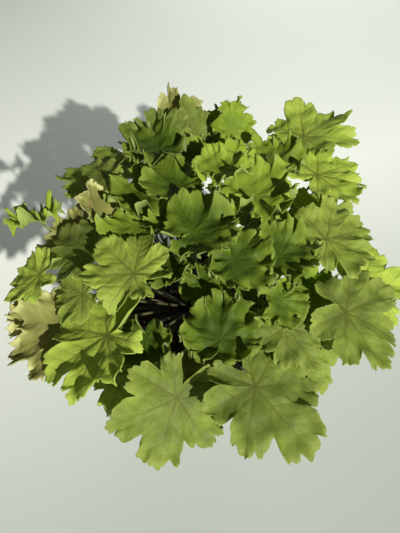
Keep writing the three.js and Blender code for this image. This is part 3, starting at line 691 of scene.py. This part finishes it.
def leaf_material(name, deep, bright, vein, margin, edged, veined, shaded, fading, clear):
    """A leaf skin: deep to bright green by the leaf's tone, which holds painted light and shade as well as
    the leaf's own green, and soft patches, with thin veins, a pale margin and a duller underside. edged is
    how much the margin shows and veined the veins, shaded how much darker the heart is painted than the
    edge, as painted shade in the hollow of the blade, fading how far old leaves are pale from the edge in,
    and clear how much light comes through."""
    material, tree, output = new_material(name)
    plan = node(tree, "Attribute", attribute_name="plan").outputs["Vector"]
    # Each leaf's tone carries painted light and shade as well as its own green.
    tone_and_painted_light = node(tree, "Attribute", attribute_name="tone_and_painted_light").outputs["Fac"]
    edge = node(tree, "Attribute", attribute_name="edge").outputs["Fac"]
    upper = node(tree, "Attribute", attribute_name="upper").outputs["Fac"]
    place = node(tree, "TexCoord").outputs["Object"]
    pattern = tree.nodes.new("ShaderNodeGroup")
    pattern.node_tree = veins
    tree.links.new(plan, pattern.inputs[0])
    patches = figure(tree, "MULTIPLY_ADD", noise(tree, place, 60, 5), 0.9, -0.45)
    # Painted shade: the heart of each blade is painted darker and the part near its edge lighter, as the
    # hollow of a cupped blade lies in shade.
    heart = mask(tree, edge, 0.2, 1.0, -shaded, 0.5 * shaded)
    lit = figure(tree, "ADD", figure(tree, "ADD", tone_and_painted_light, patches), heart, clamped=True)
    color = mixed(tree, lit, deep, bright)
    inner = mask(tree, edge, 0.15, 1.0, veined, 0.5 * veined)
    color = mixed(tree, figure(tree, "MULTIPLY", pattern.outputs[0], inner), color, vein)
    color = mixed(tree, mask(tree, edge, 0.8, 1.0, 0.0, edged), color, margin)
    if fading:
        worn = figure(tree, "MULTIPLY", noise(tree, place, 50, 4), 0.8)
        worn = figure(tree, "MULTIPLY_ADD", edge, 0.6, worn)
        color = mixed(tree, mask(tree, worn, 1.15 - fading * 0.5, 1.3 - fading * 0.5), color, margin)
        scorch = mask(tree, noise(tree, place, 80, 5), 0.62, 0.72)
        color = mixed(tree, figure(tree, "MULTIPLY", scorch, 0.5), color, (0.3, 0.2, 0.1, 1))
    color = mixed(tree, figure(tree, "MULTIPLY_ADD", upper, -0.35, 0.35), color, (0.4, 0.46, 0.22, 1))
    grain = figure(tree, "MULTIPLY", noise(tree, place, 900, 2), 0.2)
    normal = bump(tree, figure(tree, "ADD", pattern.outputs[1], grain), 0.00022, 0.6)
    rough = figure(tree, "MULTIPLY_ADD", noise(tree, place, 300), 0.2, 0.5)
    skin = node(tree, "BsdfPrincipled", {"Base Color": color, "Roughness": rough, "Normal": normal,
                                         "Specular IOR Level": 0.18})
    glow = mixed(tree, 0.68, color, bright)
    through = node(tree, "BsdfTranslucent", {"Color": glow, "Normal": normal})
    blend = node(tree, "MixShader", {0: clear, 1: skin.outputs[0], 2: through.outputs[0]})
    tree.links.new(blend.outputs[0], output.inputs[0])
    return material


leaf_materials = {
    "broad_leaf": leaf_material(
        "broad_leaf_skin", deep=(0.13, 0.17, 0.035, 1), bright=(0.46, 0.58, 0.085, 1),
        vein=(0.09, 0.085, 0.02, 1), margin=(0.5, 0.55, 0.16, 1),
        edged=0.14, veined=0.66, shaded=0.1, fading=0, clear=0.5),
    "frilled_leaf": leaf_material(
        "frilled_leaf_skin", deep=(0.05, 0.088, 0.007, 1), bright=(0.3, 0.42, 0.04, 1),
        vein=(0.1, 0.14, 0.015, 1), margin=(0.42, 0.49, 0.09, 1),
        edged=0.2, veined=0.14, shaded=0.26, fading=0, clear=0.46),
    "old_leaf": leaf_material(
        "old_leaf_skin", deep=(0.16, 0.17, 0.04, 1), bright=(0.4, 0.4, 0.12, 1),
        vein=(0.25, 0.22, 0.06, 1), margin=(0.58, 0.58, 0.24, 1),
        edged=0.3, veined=0.4, shaded=0.12, fading=0.45, clear=0.4),
}

# Each leaf's green, from 0, deep, to 1, bright, or a little past it, is partly its own colour and partly
# painted
# light and shade: brighter for leaves that stand out lit, darker in the centre, and lighter for some in
# others' shade. The others stand near the middle.
MIDDLE_TONE = 0.42
TONE_SPREAD = 0.3
TONES_AND_PAINTED_LIGHT = {1: 0.1, 2: 0.2, 3: 1.3, 4: 0.6, 5: 0.02, 6: 0.2, 7: 0.42, 8: 0.95, 9: 0.75, 10: 0.15, 11: 0.1,
         12: 0.8, 13: 0.1, 14: 0.2, 15: 0.75, 16: 0.95, 17: 0.3, 18: 0.25, 19: 0.1, 20: 0.15, 21: 0.85,
         22: 1, 23: 0.2, 24: 0.22, 26: 0.6, 28: 0.45, 29: 0.75, 30: 0.4, 31: 0.2, 32: 0.2, 33: 0.9,
         34: 0.7, 35: 0.45, 36: 0.4, 38: 0.1, 39: 0.3, 40: 0.3, 41: 0.1, 42: 0.35, 43: 0.15, 44: 0.4,
         47: 0.9, 49: 0.1}


def leaf_grid(size):
    """The rows and columns of points that a blade of a size in metres is worked out on."""
    return LARGE_GRID if size > SMALL_LEAF else SMALL_GRID


def point_values(made, key, values):
    """Stores a number or a vector with each point of an object, for its material to read."""
    kind, field = ("FLOAT", "value") if values.ndim == 1 else ("FLOAT_VECTOR", "vector")
    stored = made.data.attributes.new(key, kind, "POINT").data
    stored.foreach_set(field, values.astype(np.float32).ravel())


def make_leaf(number, name, slot, pose, room):
    """One blade in its place: two faces a thickness apart that meet in a rounded edge, each closed at the
    stalk by a fan. Its main veins stand out from the lower face as ribs."""
    size, turn, spot = pose
    rows, columns = leaf_grid(size)
    middle, plan, share = fine_blade(KINDS[slot], number, rows, columns, room)
    normal = sheet_normals(middle)
    off_vein = near_vein(np.arctan2(plan[..., 1], plan[..., 0])) * share
    rib = MIDRIB * np.exp(-(off_vein / VEIN_WIDTH) ** 2)[..., None]
    half = BLADE_THICKNESS / 2 / size
    raised = middle + half * normal
    lowered = middle - (half + rib * (1.1 - share[..., None])) * normal
    rim = middle[-1:] + half * (middle[-1:] / np.linalg.norm(middle[-1:], axis=-1, keepdims=True))
    skin = np.concatenate([raised, rim, lowered[::-1]])
    hubs = np.array([[0, 0, half], [0, 0, -half - MIDRIB]])
    points = np.concatenate([skin.reshape(-1, 3), hubs])
    last = len(skin) * columns
    ring = np.arange(columns)
    faces = [grid_faces(len(skin), columns)[:, ::-1], fan_faces(last, ring),
             fan_faces(last + 1, last - columns + ring, up=False)]
    leaf = new_object("blade" + name[4:], size * points @ turn + spot, faces, leaf_materials[slot])
    shares = np.concatenate([share, share[-1:], share[::-1]])
    uppers = np.concatenate([np.ones_like(share), np.full((1, columns), 0.5), np.zeros_like(share)])
    plans = np.concatenate([plan, plan[-1:], plan[::-1]]).reshape(-1, 3)
    # The tone is partly painted light and shade, set to how lit the leaf stands.
    tone_and_painted_light = TONES_AND_PAINTED_LIGHT.get(number, MIDDLE_TONE + TONE_SPREAD * (seeded(number + 0.7) - 0.5))
    point_values(leaf, "edge", np.append(shares, [0, 0]))
    point_values(leaf, "upper", np.append(uppers, [1, 0]))
    point_values(leaf, "tone_and_painted_light", np.full(len(points), tone_and_painted_light))
    point_values(leaf, "plan", np.concatenate([plans, [[0, 0, number], [0, 0, number]]]))
    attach(leaf, "root")
    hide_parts(name)


def sheet_tree(slot, number, pose, room):
    """A search tree of a blade in its place, as a sheet a little above it and one a little below."""
    size, turn, spot = pose
    rows, columns = leaf_grid(size)
    middle = fine_blade(KINDS[slot], number, rows, columns, room)[0]
    spare = CLEARANCE / size * sheet_normals(middle)
    points = size * np.stack([middle + spare, middle - spare]).reshape(-1, 3) @ turn + spot
    faces = np.concatenate([grid_faces(rows, columns), grid_faces(rows, columns, start=rows * columns)])
    return BVHTree.FromPolygons(points.tolist(), faces.tolist())


def share_room(slots, poses):
    """How much of its folds each blade has room for, one value a column of its points. Where two blades
    cross, both are eased about the place, until all are clear or ROOM_ROUNDS are up."""
    rooms = [np.ones(leaf_grid(pose[0])[1]) for pose in poses]
    trees = [sheet_tree(slot, number, pose, 1.0)
             for number, (slot, pose) in enumerate(zip(slots, poses), start=1)]
    for _ in range(ROOM_ROUNDS):
        crossed = {}
        for pair in itertools.combinations(range(len(trees)), 2):
            faces = np.array(trees[pair[0]].overlap(trees[pair[1]]), int).reshape(-1, 2)
            for leaf, hits in zip(pair, faces.T):
                crossed.setdefault(leaf, []).append(hits % len(rooms[leaf]))
        for leaf, found in crossed.items():
            columns = len(rooms[leaf])
            hits = np.unique(np.concatenate(found))
            if hits.size:
                steps = np.arange(columns)[:, None] - hits
                away = np.abs((steps + columns / 2) % columns - columns / 2).min(axis=1) / columns
                rooms[leaf] = rooms[leaf] * (1 - ROOM_STEP * np.exp(-(away / ROOM_REACH) ** 2))
                trees[leaf] = sheet_tree(slots[leaf], leaf + 1, poses[leaf], rooms[leaf])
    return rooms


subparts = frame["record"]["subparts"]
leaf_slots = {part["node"]: part["material_slot"] for part in subparts if part["node"].startswith("leaf")}
leaf_names, slots = zip(*sorted(leaf_slots.items()))
poses = [blade_pose(name, KINDS[slot], number)
         for number, (name, slot) in enumerate(zip(leaf_names, slots), start=1)]
rooms = share_room(slots, poses)
for number, leaf in enumerate(zip(leaf_names, slots, poses, rooms), start=1):
    make_leaf(number, *leaf)
stalk_ends = [(spot, turn[2]) for _, turn, spot in poses]

# ---- The crown and its stalks ------------------------------------------------------------------------
# A short woody crown, brown and scaly from the feet of lost leaves. Each leaf's stalk grows out of it
# in a papery sheath, arches over to its blade, and is covered in fine hairs.

CROWN_RADIUS = 0.017
CROWN_DEPTH = 0.024
CROWN_RISE = 0.015
CROWN_ROWS = 40
CROWN_SIDES = 120
STEM_ROWS = 4
SCALE_ROWS = 5
SCALES = 11
SCALE_LIFT = 0.0011
SCALE_SINK = 0.0004
MOUND_RADIUS = 0.18
STALK_RADIUS = 0.0013
STALK_NECK = 0.016
STALK_SHORT = 0.0004
INNER_SLOPE = 80
OUTER_SLOPE = 25
STALK_STEPS = 30
STALK_SIDES = 10
STALK_HAIRS = 90
HAIR_RADIUS = 0.00006
HAIR_SHORT = 0.0009
HAIR_LONG = 0.002


def stalk_path(spot, upper, share):
    """A cubic curve from the crown to the blade. It leaves the crown at a slope that is steeper for an
    inner leaf, and comes up to the blade square on from below. Rows of share, columns of X, Y and Z."""
    outward = np.array([spot[0], spot[1], 0])
    reach = np.linalg.norm(outward)
    slope = math.radians(INNER_SLOPE - (INNER_SLOPE - OUTER_SLOPE) * min(1, reach / MOUND_RADIUS))
    direction = outward / reach * math.cos(slope) + np.array([0, 0, math.sin(slope)])
    start = direction * 0.7 * CROWN_RADIUS
    start[2] = SOIL_TOP + CROWN_RISE * (0.1 + 0.5 * math.sin(slope))
    end = spot - upper * STALK_SHORT
    rise = start + direction * 0.45 * np.linalg.norm(end - start)
    neck = end - upper * STALK_NECK
    share = share[:, None]
    rest = 1 - share
    return rest ** 3 * start + 3 * rest ** 2 * share * rise + 3 * rest * share ** 2 * neck + share ** 3 * end


def tube_frames(path):
    """Two unit vectors square to a path at each of its points: one level, one square to both."""
    ahead = np.gradient(path, axis=0)
    ahead /= np.linalg.norm(ahead, axis=1, keepdims=True)
    level = np.cross(ahead, (0.31, 0.2, 0.93))
    level /= np.linalg.norm(level, axis=1, keepdims=True)
    return level, np.cross(ahead, level)


def loops(first, second, angles):
    """A unit circle for each pair of square vectors, as a point at each angle from first to second."""
    return first[:, None] * np.cos(angles)[:, None] + second[:, None] * np.sin(angles)[:, None]


def stalk_radius(share):
    """The stalk's radius: a sheath at its foot, then slender, and a little thicker under the blade."""
    sheath, collar = np.exp(-(share / 0.07) ** 2), np.exp(-((1 - share) / 0.03) ** 2)
    return STALK_RADIUS * (1 + 1.1 * sheath - 0.12 * share + 0.3 * collar)


def stalk_material():
    """Hairy stalks, green above and flushed red-brown towards the foot, lined along their length. Both
    colours are kept dark as painted shade of the hollow under the leaves.
    """
    material, tree, output = new_material("hairy_stalk")
    place = node(tree, "TexCoord").outputs["Object"]
    along = node(tree, "Attribute", attribute_name="along").outputs["Fac"]
    flush = figure(tree, "MULTIPLY", along, 0.6)
    flush = figure(tree, "MULTIPLY_ADD", noise(tree, place, 35, 3), 0.5, flush)
    # Painted shade: the green and the red-brown are both darker than a stalk's own colour, for the hollow
    # under the leaves where the stalks run.
    color = mixed(tree, mask(tree, flush, 0.35, 0.9), (0.03, 0.021, 0.007, 1), (0.075, 0.1, 0.013, 1))
    color = mixed(tree, mask(tree, along, 0.1, 0.02), color, (0.035, 0.024, 0.012, 1))
    fine = noise(tree, place, 1400, 3)
    color = mixed(tree, figure(tree, "MULTIPLY", fine, 0.2), color, (0.11, 0.11, 0.035, 1))
    skin = node(tree, "BsdfPrincipled", {"Base Color": color, "Roughness": 0.62, "Sheen Weight": 0.05,
                                         "Normal": bump(tree, fine, 0.0004, 0.5)})
    tree.links.new(skin.outputs[0], output.inputs[0])
    return material


def make_stalks():
    """All the stalks as round tubes along their paths, each closed by a fan at both ends."""
    share = np.linspace(0, 1, STALK_STEPS)
    around = ring_bearings(STALK_SIDES)
    ring = np.arange(STALK_SIDES)
    last = STALK_STEPS * STALK_SIDES
    foot = fan_faces(last, ring, up=False)
    head = fan_faces(last + 1, last - STALK_SIDES + ring)
    points, faces, shares = [], [], []
    for number, (spot, upper) in enumerate(stalk_ends):
        path = stalk_path(spot, upper, share)
        level, square = tube_frames(path)
        tube = path[:, None] + stalk_radius(share)[:, None, None] * loops(level, square, around)
        start = number * (last + 2)
        points.extend([tube.reshape(-1, 3), path[:1], path[-1:]])
        faces.extend([grid_faces(STALK_STEPS, STALK_SIDES, start), foot + start, head + start])
        shares.extend([np.repeat(share, STALK_SIDES), [0, 1]])
    stalks = new_object("stalks", np.concatenate(points), faces, stalk_material())
    point_values(stalks, "along", np.concatenate(shares))
    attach(stalks, "root")
    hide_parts("crown")


def make_hairs():
    """Fine hairs on the stalks: three-sided spikes that stand out from random places, tip upward."""
    draw = np.random.default_rng(11)
    corner = ring_bearings(3)
    points = []
    for spot, upper in stalk_ends:
        share = np.sort(draw.uniform(0.06, 0.97, STALK_HAIRS))
        path = stalk_path(spot, upper, share)
        level, square = tube_frames(path)
        spin = draw.uniform(0, 2 * np.pi, (STALK_HAIRS, 1))
        out = level * np.cos(spin) + square * np.sin(spin)
        side = square * np.cos(spin) - level * np.sin(spin)
        ahead = np.cross(level, square)
        foot = path + out * stalk_radius(share)[:, None] * 0.8
        long = draw.uniform(HAIR_SHORT, HAIR_LONG, (STALK_HAIRS, 1))
        tip = foot + out * long + ahead * long * draw.uniform(-0.3, 0.5, (STALK_HAIRS, 1))
        base = foot[:, None] + HAIR_RADIUS * loops(side, ahead, corner)
        points.append(np.concatenate([base, tip[:, None]], axis=1).reshape(-1, 3))
    count = len(points) * STALK_HAIRS
    spike = np.array([[0, 1, 3], [1, 2, 3], [2, 0, 3], [2, 1, 0]])
    faces = (spike + 4 * np.arange(count)[:, None, None]).reshape(-1, 3)
    material, tree, output = new_material("stalk_hair")
    place = node(tree, "TexCoord").outputs["Object"]
    # Painted shade: the hairs are kept darker than their own pale colour, so that they catch no light in the
    # hollow under the leaves.
    color = mixed(tree, noise(tree, place, 60), (0.12, 0.1, 0.045, 1), (0.26, 0.25, 0.12, 1))
    skin = node(tree, "BsdfPrincipled", {"Base Color": color, "Roughness": 0.5})
    tree.links.new(skin.outputs[0], output.inputs[0])
    hairs = new_object("stalk_hairs", np.concatenate(points), [faces], material)
    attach(hairs, "root")


def make_crown():
    """The crown as a turned form whose skin is broken into overlapping scales: each row of scales is a
    sawtooth along the height, stepped half a scale round from the row below."""
    around = ring_bearings(CROWN_SIDES)
    bend = np.linspace(0, np.pi / 2, CROWN_ROWS)
    rise = np.linspace(SOIL_TOP - CROWN_DEPTH, SOIL_TOP - 0.002, STEM_ROWS)
    dome = section(CROWN_RADIUS * np.cos(bend) ** 0.75, SOIL_TOP + CROWN_RISE * np.sin(bend))[:-1]
    profile = np.concatenate([section(CROWN_RADIUS, rise), dome])
    level = np.arange(len(profile))[:, None] / SCALE_ROWS
    petal = np.abs(np.sin(SCALES / 2 * around + np.pi / 2 * (np.floor(level) % 2)))
    ripple = SCALE_LIFT * (1 - level % 1) * petal ** 0.5 - SCALE_SINK
    ripple[:STEM_ROWS] = 0
    shell = turned(profile, around, ripple)
    ring = np.arange(CROWN_SIDES)
    last = len(shell)
    points = np.concatenate([shell, [[0, 0, SOIL_TOP - CROWN_DEPTH], [0, 0, SOIL_TOP + CROWN_RISE]]])
    faces = [grid_faces(len(profile), CROWN_SIDES), fan_faces(last, ring, up=False),
             fan_faces(last + 1, last - CROWN_SIDES + ring)]
    material, tree, output = new_material("woody_crown")
    place = node(tree, "TexCoord").outputs["Object"]
    patches = noise(tree, place, 220, 6, 0.6)
    color = mixed(tree, patches, (0.02, 0.011, 0.007, 1), (0.16, 0.095, 0.05, 1))
    skin = node(tree, "BsdfPrincipled", {"Base Color": color, "Roughness": 0.85,
                                         "Normal": bump(tree, patches, 0.0015, 0.8)})
    tree.links.new(skin.outputs[0], output.inputs[0])
    crown = new_object("crown_stock", points, faces, material)
    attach(crown, "root")
    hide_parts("crown")


make_stalks()
make_hairs()
make_crown()
